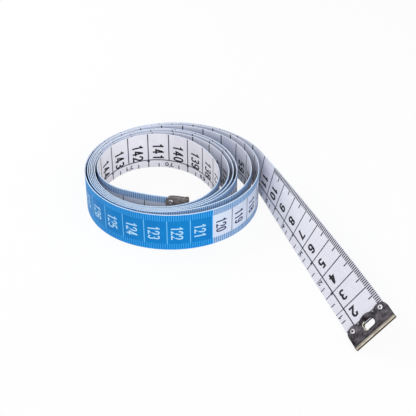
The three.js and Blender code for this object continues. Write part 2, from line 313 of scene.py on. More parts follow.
def addMix(tree, factor, first, second):
    # a colour mix of two written colours by a factor socket
    node = tree.nodes.new("ShaderNodeMix")
    node.data_type = "RGBA"
    tree.links.new(factor, node.inputs["Factor"])
    sides = [socket for socket in node.inputs if socket.type == "RGBA"]
    for socket, colour in zip(sides, (first, second)):
        socket.default_value = (*linear(colour), 1.0)
    return [socket for socket in node.outputs if socket.type == "RGBA"][0]


# noises are (scale, detail, roughness); threads are counted to the metre
cloth = {
    "threads": 1900.0, "threadShare": 0.12, "cockle": (260.0, 3.0, 0.5),
    "darkening": (90.0, 5.0, 0.6), "soilRange": (0.42, 0.78), "soilDulls": 0.12,
    "bumpStrength": 0.12, "bumpDepth": 0.0002,
}
grain = {
    "fineNoise": (3.0, 0.6), "fineRange": (0.35, 0.7), "slowNoise": (4.0, 0.55), "slowRange": (0.32, 0.68),
    "inkScales": (5200.0, 420.0), "inkRoughness": (0.42, 0.6), "inkGloss": 0.14,
    "metalSpeckle": 0.4, "dentDepth": 0.0001,
}


def buildWeave():
    # glass-cloth weave under a soft coating: the product of two sine waves along s and t, in metres,
    # plus slow cockle; dirt comes in clouds, and a painted shade darkens all over the first few centimetres
    # of the free end
    group, given, out = newGroup("coatedWeave", (), ("Height", "SoilAndShade"))
    vector = given.outputs["Vector"]
    split = group.nodes.new("ShaderNodeSeparateXYZ")
    group.links.new(vector, split.inputs[0])
    turns = cloth["threads"] * 2 * math.pi
    waves = [addMath(group, "SINE", addMath(group, "MULTIPLY", split.outputs[axis], turns))
             for axis in ("X", "Y")]
    threads = addMath(group, "MULTIPLY", *waves)
    cockle = addNoise(group, vector, *cloth["cockle"])
    height = addMath(group, "MULTIPLY_ADD", threads, cloth["threadShare"], cockle)
    group.links.new(height, out.inputs["Height"])
    darkening = addRange(group, addNoise(group, vector, *cloth["darkening"]), *cloth["soilRange"])
    # painted shade: full over the free end's first centimetres, fading out further along
    endShade = addRange(group, split.outputs["X"], *(edge * mm for edge in ribbon["endShade"]), 1.0, 0.0)
    group.links.new(addMath(group, "MAXIMUM", darkening, endShade), out.inputs["SoilAndShade"])
    return group


def buildGrain():
    # fine speckle and slow clouds on object coordinates: two noises, each stretched to 0..1
    group, given, out = newGroup("speckle", ("Fine", "Slow"), ("Speckle", "Cloud"))
    for scale, output, kind in (("Fine", "Speckle", "fine"), ("Slow", "Cloud", "slow")):
        noise = addNoise(group, given.outputs["Vector"], given.outputs[scale], *grain[kind + "Noise"])
        group.links.new(addRange(group, noise, *grain[kind + "Range"]), out.inputs[output])
    return group


weaveGroup = buildWeave()
grainGroup = buildGrain()


def startMaterial(name, group, vectorFrom):
    # a Principled material with one shared group on the piece's UV map or object coordinates
    material = bpy.data.materials.new(name)
    material.use_nodes = True
    tree = material.node_tree
    place = tree.nodes.new("ShaderNodeTexCoord")
    effect = tree.nodes.new("ShaderNodeGroup")
    effect.node_tree = group
    tree.links.new(place.outputs[vectorFrom], effect.inputs["Vector"])
    return material, tree, tree.nodes["Principled BSDF"], effect


def addBump(tree, shader, height, strength, distance):
    # bump of a height socket into the shader's normal
    bump = tree.nodes.new("ShaderNodeBump")
    bump.inputs["Strength"].default_value = strength
    bump.inputs["Distance"].default_value = distance
    tree.links.new(height, bump.inputs["Height"])
    tree.links.new(bump.outputs["Normal"], shader.inputs["Normal"])


def coatMaterial(name, clean, soiledAndShaded, roughness, gloss):
    # coated cloth: weave bump, dirt clouds and the painted shade on the free end that darken the coat,
    # roughness that rises with both
    material, tree, shader, effect = startMaterial(name, weaveGroup, "UV")
    darkening = effect.outputs["SoilAndShade"]
    tree.links.new(addMix(tree, darkening, clean, soiledAndShaded), shader.inputs["Base Color"])
    rough = addRange(tree, darkening, 0.0, 1.0, roughness, roughness + cloth["soilDulls"])
    tree.links.new(rough, shader.inputs["Roughness"])
    shader.inputs["Specular IOR Level"].default_value = gloss
    addBump(tree, shader, effect.outputs["Height"], cloth["bumpStrength"], cloth["bumpDepth"])
    return material


def startGrain(name, fine, slow, mixBy, first, second):
    # a material on the speckle group: two tones mixed by one of its outputs
    material, tree, shader, effect = startMaterial(name, grainGroup, "Object")
    effect.inputs["Fine"].default_value = fine
    effect.inputs["Slow"].default_value = slow
    tree.links.new(addMix(tree, effect.outputs[mixBy], first, second), shader.inputs["Base Color"])
    return material, tree, shader, effect


def inkMaterial(name, solid, worn):
    # printed ink: speckled wear between two tones, a touch smoother where it is solid
    material, tree, shader, effect = startGrain(name, *grain["inkScales"], "Speckle", solid, worn)
    rough = addRange(tree, effect.outputs["Cloud"], 0.0, 1.0, *grain["inkRoughness"])
    tree.links.new(rough, shader.inputs["Roughness"])
    shader.inputs["Specular IOR Level"].default_value = grain["inkGloss"]
    return material


def metalMaterial(name, light, dark, shine, dull, bump, fine, slow):
    # bare metal: clouds of tarnish between two tones, speckled roughness and fine dents
    material, tree, shader, effect = startGrain(name, fine, slow, "Cloud", light, dark)
    share = grain["metalSpeckle"]
    both = addMath(tree, "MULTIPLY_ADD", effect.outputs["Speckle"], share, effect.outputs["Cloud"])
    tree.links.new(addRange(tree, both, 0.0, 1.0 + share, shine, dull), shader.inputs["Roughness"])
    shader.inputs["Metallic"].default_value = 1.0
    addBump(tree, shader, both, bump, grain["dentDepth"])
    return material


coats = {
    "inner": coatMaterial("vinylWhite", (236, 235, 243), (222, 221, 232), roughness=0.45, gloss=0.2),
    # painted shade: the blue is written about 7% darker, for the lesser light on the coil's front face
    "blue": coatMaterial("vinylBlue", (4, 123, 192), (0, 109, 181), roughness=0.42, gloss=0.12),
    "edge": coatMaterial("vinylEdge", (206, 228, 249), (186, 212, 241), roughness=0.5, gloss=0.15),
    "band": coatMaterial("vinylPaleBand", (160, 189, 218), (145, 175, 206), roughness=0.45, gloss=0.2),
    # the outer face's white is a real greyer blue-white, and is also written about 7% darker as painted
    # shade for the lesser light on the coil's front face
    "outer": coatMaterial("vinylOuterWhite", (204, 213, 230), (192, 202, 221), roughness=0.45, gloss=0.2),
}
inkBlack = inkMaterial("inkBlack", (22, 22, 28), (46, 46, 54))
inkGrey = inkMaterial("inkGrey", (44, 46, 58), (76, 78, 90))
inkNavy = inkMaterial("inkNavy", (26, 36, 76), (52, 62, 104))
inkSky = inkMaterial("inkSky", (78, 115, 170), (102, 138, 190))
inkPale = inkMaterial("inkPale", (185, 219, 238), (147, 200, 232))
inkLine = inkMaterial("inkLine", (118, 193, 238), (89, 176, 232))
inkBright = inkMaterial("inkBright", (42, 146, 220), (63, 161, 227))
leafMetal = metalMaterial("clipSteel", (78, 74, 79), (23, 20, 22),
                          shine=0.3, dull=0.58, bump=0.4, fine=2400.0, slow=340.0)
innerMetal = metalMaterial("clipSteelWorn", (174, 169, 166), (116, 111, 109),
                           shine=0.34, dull=0.6, bump=0.35, fine=2400.0, slow=420.0)
# painted highlight: the pale fold shoulders; painted shade: the dark brown nose of the fold
foldHighlightMetal = metalMaterial("clipFold", (150, 145, 135), (123, 116, 104),
                          shine=0.2, dull=0.4, bump=0.2, fine=2600.0, slow=300.0)
foldShadeBrown = metalMaterial("clipFoldNose", (86, 71, 59), (48, 40, 35),
                          shine=0.3, dull=0.5, bump=0.25, fine=2600.0, slow=380.0)
# painted highlight: the pale metal on the lower end of the slot's lip
lipHighlightMetal = metalMaterial("slotLip", (206, 204, 186), (150, 146, 128),
                         shine=0.2, dull=0.42, bump=0.2, fine=3000.0, slow=500.0)
rivetMetal = metalMaterial("rivetNickel", (190, 189, 194), (140, 137, 140),
                           shine=0.2, dull=0.36, bump=0.2, fine=3200.0, slow=500.0)
print("materials made:", len(bpy.data.materials))


# the tape itself: a thin closed ribbon with rounded edges and a punched hole under each clip
def slotSpan():
    # the hole's reach along s from a fold, and across t, with clearance round the clip's slot
    middleS, middleT = clip["slotMiddle"]
    reachS = clip["slotAlong"] / 2 + clip["slotClearance"]
    reachT = clip["slotAcross"] / 2 + clip["slotClearance"]
    return middleS - reachS, middleS + reachS, middleT - reachT, middleT + reachT


def decadeIsBlue(s):
    # the outer face counts down from the free end; every second ten centimetres is blue, the first ten white
    tens = np.floor((ribbon["length"] - s) / (10 * centimetre)).astype(int)
    return (tens % 2 == 0) & (tens > 0)


def quads(*corners):
    # four arrays of point numbers, spread to one shape, as rows of four
    return np.stack([corner.ravel() for corner in np.broadcast_arrays(*corners)], axis=-1)


def buildRibbon():
    # grid of rings along s by points up t, once at plus and once at minus the half thickness,
    # closed by edge strips, end caps and the walls of the two holes
    slotNear, slotFar, slotLow, slotHigh = slotSpan()
    length, width = ribbon["length"], ribbon["width"]
    holeRings = np.array([slotNear, slotFar, length - slotFar, length - slotNear])
    rings = np.unique(np.concatenate([
        [ribbon["endInset"], length - ribbon["endInset"]], holeRings,
        np.arange(ribbon["ringStep"], length, ribbon["ringStep"])]))
    near = np.abs(rings[:, None] - holeRings[None, :])
    rings = rings[~((near > 0) & (near < ribbon["leastStep"])).any(axis=1)]
    inward, half = np.array(ribbon["edgeRound"]).T
    bandLow, bandHigh = ribbon["bandEdges"]
    inside = [bandLow, slotLow, slotHigh, bandHigh]
    t = np.concatenate([inward, inside, width - inward[::-1]])
    half = np.concatenate([half, np.full(len(inside), half[-1]), half[::-1]])
    n, m = len(rings), len(t)
    s, up, side = np.meshgrid(rings, np.arange(m), np.array([1.0, -1.0]), indexing="ij")
    points = onTape(s.ravel(), t[up.ravel()], side.ravel() * half[up.ravel()])
    uv = np.stack([s.ravel(), t[up.ravel()]], axis=-1)

    def at(i, j, k):
        # number of the point on ring i and row j, on the outer face for k = 0 and the inner for 1
        return (np.asarray(i) * m + np.asarray(j)) * 2 + k

    def wall(i, j, nextI, nextJ):
        # quads that join the two faces between neighbouring points of an edge
        return quads(at(i, j, 0), at(i, j, 1), at(nextI, nextJ, 1), at(nextI, nextJ, 0))

    middle = (rings[:-1] + rings[1:]) / 2
    fromFold = np.minimum(middle, length - middle)
    inHole = (fromFold > slotNear) & (fromFold < slotFar)
    i, j = np.meshgrid(np.arange(n - 1), np.arange(m - 1), indexing="ij")
    row = len(inward) + inside.index(slotLow)
    kept = ~(inHole[i] & (j == row))
    i, j = i[kept], j[kept]
    outer = quads(at(i, j, 0), at(i + 1, j, 0), at(i + 1, j + 1, 0), at(i, j + 1, 0))
    inner = quads(at(i, j, 1), at(i, j + 1, 1), at(i + 1, j + 1, 1), at(i + 1, j, 1))
    run, rise, hole = np.arange(n - 1), np.arange(m - 1), np.flatnonzero(inHole)
    edges = np.concatenate([wall(run, 0, run + 1, 0), wall(run + 1, m - 1, run, m - 1)])
    enter, leave = np.searchsorted(rings, holeRings).reshape(2, 2).T
    walls = np.concatenate([
        wall(0, rise + 1, 0, rise), wall(n - 1, rise, n - 1, rise + 1),
        wall(enter, row, enter, row + 1), wall(leave, row + 1, leave, row),
        wall(hole + 1, row, hole, row), wall(hole, row + 1, hole + 1, row + 1)])
    slotOf = {name: number for number, name in enumerate(coats)}
    rowMiddle = (t[:-1] + t[1:]) / 2
    banded = (rowMiddle < bandLow) | (rowMiddle > bandHigh)
    # the print stops short of the edges
    bare = (rowMiddle < inward[-1]) | (rowMiddle > width - inward[-1])
    pale = np.where(banded[j], slotOf["band"], slotOf["outer"])
    printed = np.where(decadeIsBlue(middle)[i], slotOf["blue"], pale)
    slots = np.concatenate([
        np.where(bare[j], slotOf["edge"], printed), np.full(len(inner), slotOf["inner"]),
        np.full(len(edges), slotOf["edge"]), np.full(len(walls), slotOf["inner"])])
    faces = np.concatenate([outer, inner, edges, walls])
    return makePiece("printedTape", points, faces, list(coats.values()), slots, uv)


printedTape = finishPiece(buildRibbon(), "tape", "tape")
print("tape made:", len(printedTape.data.polygons), "faces")


# the print: thin films of ink just proud of the faces, ticks and long lines as quads
ink = {
    "proud": 0.02, "sunk": 0.015, "pieceStep": 1.0, "edgeGap": 0.15, "edgeGapB": 0.25,
    # the print starts this far from a fold; the slack keeps the last mark in
    "printStart": 9.0, "slack": 0.1,
    # height and width of the line under the centimetre cells
    "longLine": (4.2, 0.52), "cellLine": 0.52,
    # millimetre ticks on the first ten centimetres
    "fineStart": 8.0, "fineEnd": 100.0, "fineLow": 16.6, "fineHalf": 14.7, "fineWidth": 0.56,
    # half scale: ticks, the dot at the line, and units cut short from where the numbers have two digits
    "halfQuarter": 2.3, "halfWidth": 0.5, "dotLow": 3.1, "dotWidth": 1.2,
    "unitWidth": 0.34, "unitShort": 0.8, "shortFrom": 200.0,
    "bandTick": 0.42, "cellLineB": 0.36,
}


def filmPiece(name, shape, side, materials, faceSlots=None):
    # ink on one face: points lie just outside it, and a thin solidify sinks the film into the coating
    points, faces = shape
    away = (ribbon["thickness"] / 2 + ink["proud"]) * side
    placed = onTape(points[:, 0], points[:, 1], np.full(len(points), away))
    turned = faces if side > 0 else faces[:, ::-1]
    piece = makePiece(name, placed, turned, materials, faceSlots, smooth=False)
    film = piece.modifiers.new("filmDepth", "SOLIDIFY")
    film.thickness = (ink["proud"] + ink["sunk"]) * mm
    film.offset = -1.0
    return finishPiece(piece, "tape")


def markRun(first, step):
    # places a step apart, from the first to as far from the coil end as the print starts from the free end
    return np.arange(first, ribbon["length"] - ink["printStart"] + ink["slack"], step)


def ticks(middle, width, low, high):
    # upright rectangles of a width about each middle, from low to high, four corners each
    middle, low, high = np.broadcast_arrays(middle, low, high)
    s0, s1 = middle - width / 2, middle + width / 2
    s = np.stack([s0, s1, s1, s0], axis=-1)
    t = np.stack([low, low, high, high], axis=-1)
    points = np.stack([s.ravel(), t.ravel()], axis=-1)
    return points, np.arange(len(points)).reshape(-1, 4)


def longBar(s, low, high):
    # one line along the tape as a strip of quads through every s given
    points = np.stack([np.repeat(s, 2), np.tile([low, high], len(s))], axis=-1)
    k = np.arange(len(s) - 1) * 2
    return points, np.stack([k, k + 2, k + 3, k + 1], axis=-1)


def linesOnA():
    # inner face: long line, centimetre lines, fine ticks on the first ten, half-scale ticks below
    edge, top = ink["edgeGap"], ribbon["width"] - ink["edgeGap"]
    middle, thick = ink["longLine"]
    low, high = middle - thick / 2, middle + thick / 2
    cell = markRun(centimetre, centimetre)
    fine = np.arange(ink["fineStart"], ink["fineEnd"] + 1)
    odd = markRun(centimetre, 2 * centimetre)
    quarter = markRun(1.5 * centimetre, centimetre)
    unit = markRun(2 * centimetre, 2 * centimetre)
    cellTop = np.where(cell <= ink["fineEnd"], ink["fineLow"], top)
    fineLow = np.where(fine % centimetre == centimetre / 2, ink["fineHalf"], ink["fineLow"])
    unitTop = np.where(unit < ink["shortFrom"], low, ink["unitShort"])
    lines = joinShapes([
        longBar(markRun(ink["printStart"], ink["pieceStep"]), low, high),
        ticks(cell, ink["cellLine"], high, cellTop),
        ticks(fine, ink["fineWidth"], fineLow, top),
        ticks(odd, ink["halfWidth"], edge, low),
        ticks(odd, ink["dotWidth"], ink["dotLow"], low),
        ticks(quarter, ink["halfWidth"], edge, ink["halfQuarter"]),
        ticks(unit, ink["unitWidth"], edge, unitTop)])
    return filmPiece("scaleLinesInner", lines, -1, [inkGrey])


def linesOnB():
    # outer face: millimetre ticks along both edges and a line at each centimetre, in the ink of its decade
    edge = ink["edgeGapB"]
    bandLow, bandHigh = ribbon["bandEdges"]
    tick = markRun(ink["printStart"], centimetre / 10)
    cell = markRun(centimetre, centimetre)
    lines = joinShapes([
        ticks(tick, ink["bandTick"], edge, bandLow),
        ticks(tick, ink["bandTick"], bandHigh, ribbon["width"] - edge),
        ticks(cell, ink["cellLineB"], bandLow, bandHigh)])
    tickSlot = np.where(decadeIsBlue(tick), 0, 1)
    cellSlot = np.where(decadeIsBlue(cell), 2, 3)
    slots = np.concatenate([tickSlot, tickSlot, cellSlot])
    return filmPiece("scaleLinesOuter", lines, 1, [inkBright, inkSky, inkLine, inkGrey], slots)


# plain digits drawn as strokes of even width
digitSet = {
    "innerNumbers": {"width": 2.7, "height": 5.3, "stroke": 0.94},
    "innerHundreds": {"width": 2.7, "height": 5.3, "stroke": 0.82},
    "halfNumbers": {"width": 1.75, "height": 2.2, "stroke": 0.5},
    "outerOnBlue": {"width": 2.15, "height": 5.2, "stroke": 0.6},
    "outerOnWhite": {"width": 2.15, "height": 5.2, "stroke": 0.7},
}


def ovalPath(x, y, halfX, halfY, first, last, count, square=0.8):
    # part of a squared oval, from one angle to another in degrees: cosine and sine, each raised to a power
    # below one
    angle = np.radians(np.linspace(first, last, count))
    c, s = np.cos(angle), np.sin(angle)
    return np.stack([x + halfX * np.sign(c) * np.abs(c) ** square,
                     y + halfY * np.sign(s) * np.abs(s) ** square], axis=-1)


def unitRows(rows, least=1e-9):
    # each row divided by its own length
    return rows / np.maximum(np.linalg.norm(rows, axis=1, keepdims=True), least)


def leftOf(steps):
    # each step turned a quarter to the left
    return np.stack([-steps[:, 1], steps[:, 0]], axis=-1)


def strokeBand(path, width, closed, sharpest=0.3):
    # a path given width: each point moves half the width along the mean normal of its two neighbours,
    # mitred up to the sharpest corner
    stepOut = unitRows(np.roll(path, -1, axis=0) - path)
    if not closed:
        stepOut[-1] = stepOut[-2]
    stepIn = np.roll(stepOut, 1, axis=0)
    if not closed:
        stepIn[0] = stepOut[0]
    normalIn = leftOf(stepIn)
    mean = unitRows(normalIn + leftOf(stepOut))
    mitre = np.maximum((mean * normalIn).sum(axis=1), sharpest)
    reach = np.minimum(width / 2 / mitre, width)[:, None]
    points = np.concatenate([path + mean * reach, path - mean * reach])
    n = len(path)
    k = np.arange(n if closed else n - 1)
    nextK = (k + 1) % n
    return points, np.stack([k, k + n, nextK + n, nextK], axis=-1)


def straight(*corners, step=0.9):
    # a polyline through the corners with extra points so that no part is longer than the step
    corners = np.array(corners, float)
    runs = [np.linspace(a, b, max(2, int(np.ceil(np.linalg.norm(b - a) / step)) + 1))[:-1]
            for a, b in zip(corners[:-1], corners[1:])]
    return np.vstack(runs + [corners[-1:]])


def digitShapes(width, height, stroke):
    # each digit's strokes inside a box of the width and height, baseline at 0 and middle at x = 0;
    # the plain numbers are shares of the box, angles in degrees and counts of points
    w, low, high = (width - stroke) / 2, stroke / 2, height - stroke / 2
    mid, lift, flat = height * 0.52, height - stroke, stroke / 2
    upper, lower = (high - mid) / 2, (mid - low) / 2
    bowl, belly, bar = lift * 0.29, lower * 1.12, low + 0.22 * height
    ring = (ovalPath(0, low + lower * 1.08, w, lower * 1.08, 180, -180, 18)[:-1], True)
    tail = (ovalPath(0, height / 2, w, lift / 2, 180, 30, 10), False)
    shapes = {
        "0": [(ovalPath(0, height / 2, w, lift / 2, 0, 360, 21)[:-1], True)],
        "1": [(straight((w * 0.3, 0), (w * 0.3, height)), False),
              (straight((w * 0.3, high - 0.08 * height), (-w * 0.85, high - 0.2 * height)), False)],
        "2": [(np.vstack([ovalPath(0, high - bowl, w, bowl, 185, -20, 12),
                          straight((-w * 0.9, low), (w + flat, low))]), False)],
        "3": [(np.vstack([ovalPath(0, mid + upper, w * 0.94, upper, 160, -78, 12),
                          ovalPath(0, low + lower, w, lower, 72, -160, 12)]), False)],
        "4": [(straight((w * 0.4, 0), (w * 0.4, height)), False),
              (straight((w * 0.2, high), (-w, bar), (w + flat, bar)), False)],
        "5": [(np.vstack([straight((w * 0.9, high), (-w * 0.72, high), (-w * 0.86, mid + 0.02 * height)),
                          ovalPath(0, low + belly, w, belly, 128, -158, 13)]), False)],
        "6": [ring, tail],
        "7": [(straight((-w - flat, high), (w * 0.85, high), (-w * 0.25, 0)), False)],
        "8": [(ovalPath(0, mid + upper, w * 0.9, upper, 0, 360, 17)[:-1], True),
              (ovalPath(0, low + lower, w, lower, 0, 360, 17)[:-1], True)],
        "9": [(np.array([0.0, height]) - path, closed) for path, closed in (ring, tail)],
    }
    return {digit: joinShapes([strokeBand(path, stroke, closed) for path, closed in strokes])
            for digit, strokes in shapes.items()}


def placeDigits(kind, marks, read, up):
    # marks are (digit, s, t) at the middle of each digit's baseline; read and up are the ways in (s, t)
    # that a number reads and its top looks; each digit is placed in one go, faces turned to look outwards
    films = []
    for digit, (points, faces) in digitShapes(**digitSet[kind]).items():
        places = np.array([(s, t) for mark, s, t in marks if mark == digit], float).reshape(-1, 1, 2)
        drawn = places + (points @ np.array([read, up], float))[None]
        every = faces[None] + (np.arange(len(places)) * len(points))[:, None, None]
        films.append((drawn.reshape(-1, 2), every.reshape(-1, 4)))
    points, faces = joinShapes(films)
    a, b, c = (points[faces[:, corner]] for corner in range(3))
    area = (b - a)[:, 0] * (c - a)[:, 1] - (c - a)[:, 0] * (b - a)[:, 1]
    return points, np.where(area[:, None] < 0, faces[:, ::-1], faces)


# places of the numbers: last digit's middle and pitch by count of digits; the first ones are moved a little
innerPlaces = {
    "baseline": -2.2, "lastMiddle": {1: 7.65, 2: 7.0, 3: 5.8}, "pitch": {1: 0.0, 2: 3.3, 3: 3.2},
    "moved": {2: (0.3, -0.5), 3: (0.1, -0.2)}, "first": 2, "hundred": 100, "end": 149,
}
halfPlaces = {"first": 1, "end": 75, "start": -1.3, "pitch": 2.4, "top": 3.0, "moved": {1: (-0.9, -0.6)}}
outerPlaces = {"first": 2, "end": 149, "baseline": 1.7, "middle": 9.2, "pitch": 2.45}


def numbersOnA():
    # inner face: each cell's number stands across the tape, top towards zero, last digit lowest
    p = innerPlaces
    films = []
    for kind, values in (("innerNumbers", range(p["first"], p["hundred"])),
                         ("innerHundreds", range(p["hundred"], p["end"]))):
        marks = []
        for value in values:
            text = str(value)
            alongBy, upBy = p["moved"].get(value, (0, 0))
            s = centimetre * value + p["baseline"] + alongBy
            t = p["lastMiddle"][len(text)] + upBy
            pitch = p["pitch"][len(text)]
            marks += [(digit, s, t + pitch * back) for back, digit in enumerate(reversed(text))]
        films.append(placeDigits(kind, marks, read=(0, -1), up=(-1, 0)))
    return filmPiece("scaleNumbersInner", joinShapes(films), -1, [inkBlack])


def halfNumbersOnA():
    # inner face, lower band: small numbers that read along the tape, one for every two centimetres
    p = halfPlaces
    marks = []
    for value in range(p["first"], p["end"]):
        alongBy, upBy = p["moved"].get(value, (0, 0))
        s = 2 * centimetre * value + p["start"] + alongBy
        marks += [(digit, s + p["pitch"] * place, p["top"] + upBy) for place, digit in enumerate(str(value))]
    shape = placeDigits("halfNumbers", marks, read=(1, 0), up=(0, -1))
    return filmPiece("halfScaleNumbers", shape, -1, [inkGrey])


def numbersOnB():
    # outer face: the count starts at the inner end, so the number's top looks that way
    p = outerPlaces
    films = []
    for kind, onBlue in (("outerOnBlue", True), ("outerOnWhite", False)):
        marks = []
        for value in range(p["first"], p["end"]):
            text, start = str(value), ribbon["length"] - centimetre * value
            if decadeIsBlue(start + centimetre / 2) == onBlue:
                first = p["middle"] + p["pitch"] * (len(text) - 1) / 2
                marks += [(digit, start + p["baseline"], first - p["pitch"] * place)
                          for place, digit in enumerate(text)]
        films.append(placeDigits(kind, marks, read=(0, -1), up=(1, 0)))
    slots = np.repeat([0, 1], [len(faces) for _, faces in films])
    return filmPiece("scaleNumbersOuter", joinShapes(films), 1, [inkPale, inkNavy], slots)


prints = [linesOnA(), linesOnB(), numbersOnA(), halfNumbersOnA(), numbersOnB()]
print("print made:", sum(len(piece.data.polygons) for piece in prints), "faces")


# clips: two leaves with lobes and a slot, a rolled fold, a raised lip round the slot
def endPiece(name, atStart, points, faces, materials, faceSlots=None):
    # clip space to an end of the tape: x from the fold inwards, y up the width, z out of the outer face;
    # at the end where that mirrors the piece, its faces turn round
    s = np.array([0.0 if atStart else ribbon["length"]])
    origin, ahead, across, face = (row[0] for row in tapeFrame(s))
    inward = ahead if atStart else -ahead
    if np.dot(np.cross(inward, across), face) < 0:
        faces = [row[::-1] for row in faces]
    placed = origin + points @ np.stack([inward, across, face])
    return makePiece(name, placed, faces, materials, faceSlots)


def circlePath(x, y, radius, first, last, count):
    # points of a circle arc between two angles in radians
    angle = np.linspace(first, last, count)
    return np.stack([x + radius * np.cos(angle), y + radius * np.sin(angle)], axis=-1)


def leafOutline():
    # up one side, round a lobe, over the middle arch, round the other lobe and back: three arcs
    low, high = -clip["overhangLow"], ribbon["width"] + clip["overhangHigh"]
    radius, count = clip["lobeRadius"], clip["lobePoints"]
    inset, lower, upper = clip["length"] - radius, low + radius, high - radius
    middle, cuspX = (lower + upper) / 2, clip["length"] - clip["cuspDepth"]
    lobeReach = math.sqrt(radius ** 2 - (cuspX - inset) ** 2)
    lobeAngle = math.atan2(lobeReach, cuspX - inset)
    halfArch = middle - lower - lobeReach
    archDepth = clip["cuspDepth"] + clip["archRise"]
    archRadius = (halfArch ** 2 + archDepth ** 2) / (2 * archDepth)
    archAngle = math.asin(halfArch / archRadius)
    archX = cuspX + archDepth - archRadius
    return np.vstack([
        [[clip["leafStart"], low], [inset - clip["lobeLead"], low]],
        circlePath(inset, lower, radius, -math.pi / 2, lobeAngle, count),
        circlePath(archX, middle, archRadius, -archAngle, archAngle, clip["archPoints"])[1:-1],
        circlePath(inset, upper, radius, -lobeAngle, math.pi / 2, count),
        [[inset - clip["lobeLead"], high], [clip["leafStart"], high]]])


def slotPath(margin):
    # rounded rectangle round the slot, four quarter circles joined by straights
    x, y = clip["slotMiddle"]
    corner = clip["slotCorner"] + margin
    halfX = clip["slotAlong"] / 2 + margin - corner
    halfY = clip["slotAcross"] / 2 + margin - corner
    quarter = math.pi / 2
    return np.vstack([
        circlePath(x + sx * halfX, y + sy * halfY, corner,
                   turn * quarter, (turn + 1) * quarter, clip["cornerPoints"])
        for turn, (sx, sy) in enumerate(((1, 1), (-1, 1), (-1, -1), (1, -1)))])


def flatPlate(outlines, thickness, bevel):
    # outlines filled as one flat curve with holes, given thickness and a bevelled edge, as a closed mesh
    curve = bpy.data.curves.new("plate", "CURVE")
    curve.dimensions = "2D"
    curve.fill_mode = "BOTH"
    curve.extrude = thickness / 2 - bevel
    curve.bevel_depth = bevel
    curve.bevel_resolution = clip["bevelSteps"]
    curve.offset = -bevel
    for outline in outlines:
        spline = curve.splines.new("POLY")
        spline.points.add(len(outline) - 1)
        rows = np.column_stack([outline, np.zeros(len(outline)), np.ones(len(outline))])
        spline.points.foreach_set("co", rows.astype(np.float32).ravel())
        spline.use_cyclic_u = True
    holder = bpy.data.objects.new("plate", curve)
    scene.collection.objects.link(holder)
    bpy.context.view_layer.update()
    mesh = bpy.data.meshes.new_from_object(holder.evaluated_get(bpy.context.evaluated_depsgraph_get()))
    work = bmesh.new()
    work.from_mesh(mesh)
    bmesh.ops.remove_doubles(work, verts=work.verts, dist=clip["weld"])
    bmesh.ops.recalc_face_normals(work, faces=work.faces)
    work.to_mesh(mesh)
    work.free()
    points = np.empty(len(mesh.vertices) * 3, np.float32)
    mesh.vertices.foreach_get("co", points)
    faces = [tuple(face.vertices) for face in mesh.polygons]
    bpy.data.objects.remove(holder)
    bpy.data.curves.remove(curve)
    bpy.data.meshes.remove(mesh)
    return points.reshape(-1, 3).astype(float), faces


clipSlots = {"leaf": 0, "fold": 1, "nose": 2, "lip": 3}


def foldBead():
    # thick arc carried along the width: an outer and an inner arc about one middle, capped at both ends,
    # with a brown nose of painted shade, bright shoulders of painted highlight and then the leaf's own tone
    count, chamfer, margin = clip["foldPoints"], clip["foldChamfer"], clip["foldMargin"]
    outer, thick = clip["foldRadius"], clip["leafOuter"] - clip["leafInner"]
    firstOut = math.asin(clip["leafOuter"] / outer)
    firstIn = math.asin(clip["leafInner"] / (outer - thick))

    def thereAndBack(outRadius, inRadius):
        # one arc from leaf to leaf and another back
        return np.vstack([circlePath(outer, 0, outRadius, firstOut, 2 * math.pi - firstOut, count),
                          circlePath(outer, 0, inRadius, 2 * math.pi - firstIn, firstIn, count)])

    section = thereAndBack(outer, outer - thick)
    towards = (thereAndBack(outer - thick / 2, outer - thick / 2) - section) / (thick / 2)
    low, high = -clip["overhangLow"], ribbon["width"] + clip["overhangHigh"]
    between = np.linspace(low + margin, high - margin, clip["foldRings"])
    heights = np.concatenate([[low, low + chamfer], between, [high - chamfer, high]])
    pull = np.zeros(len(heights))
    pull[[0, -1]] = chamfer
    ring = section[None] + towards[None] * pull[:, None, None]
    up = np.broadcast_to(heights[:, None], ring.shape[:2])
    points = np.stack([ring[..., 0], up, ring[..., 1]], axis=-1).reshape(-1, 3)
    n = len(section)
    k = np.arange(count - 1)
    lowCap = np.stack([k, k + 1, n - 2 - k, n - 1 - k], axis=-1)
    highCap = lowCap[:, ::-1] + (len(heights) - 1) * n
    faces = np.concatenate([ringQuads(len(heights), n, closed=False), lowCap, highCap])
    # painted highlight on both shoulders of the bend, painted shade on its nose and end caps
    fromNose = np.abs((np.arange(n) + 0.5) / (count - 1) - 0.5)
    tone = np.where(fromNose < clip["shoulderShare"], clipSlots["fold"], clipSlots["leaf"])
    tone = np.where(fromNose < clip["noseShare"], clipSlots["nose"], tone)
    slots = np.concatenate([np.tile(tone, len(heights) - 1), np.full(2 * (count - 1), clipSlots["nose"])])
    return points, faces, slots


def slotLip(side):
    # a thin round bead carried round the slot: the path plus radius times cosine outwards and sine along z;
    # its lower end takes a painted highlight
    radius, around = clip["lipRadius"], clip["lipSides"]
    path = slotPath(clip["lipInset"])
    ahead = unitRows(np.roll(path, -1, axis=0) - np.roll(path, 1, axis=0))
    angle = np.linspace(0, 2 * np.pi, around, endpoint=False)
    flat = path[:, None] - leftOf(ahead)[:, None] * (radius * np.cos(angle))[None, :, None]
    z = side * clip["leafOuter"] + np.broadcast_to(radius * np.sin(angle), flat.shape[:2])
    points = np.concatenate([flat, z[..., None]], axis=-1).reshape(-1, 3)
    faces = ringQuads(len(path), around, closed=True)
    # painted highlight on the bead's lower end
    height = points[faces].mean(axis=1)[:, 1]
    return points, faces, np.where(height < clip["lipHighlightBelow"], clipSlots["lip"], clipSlots["leaf"])


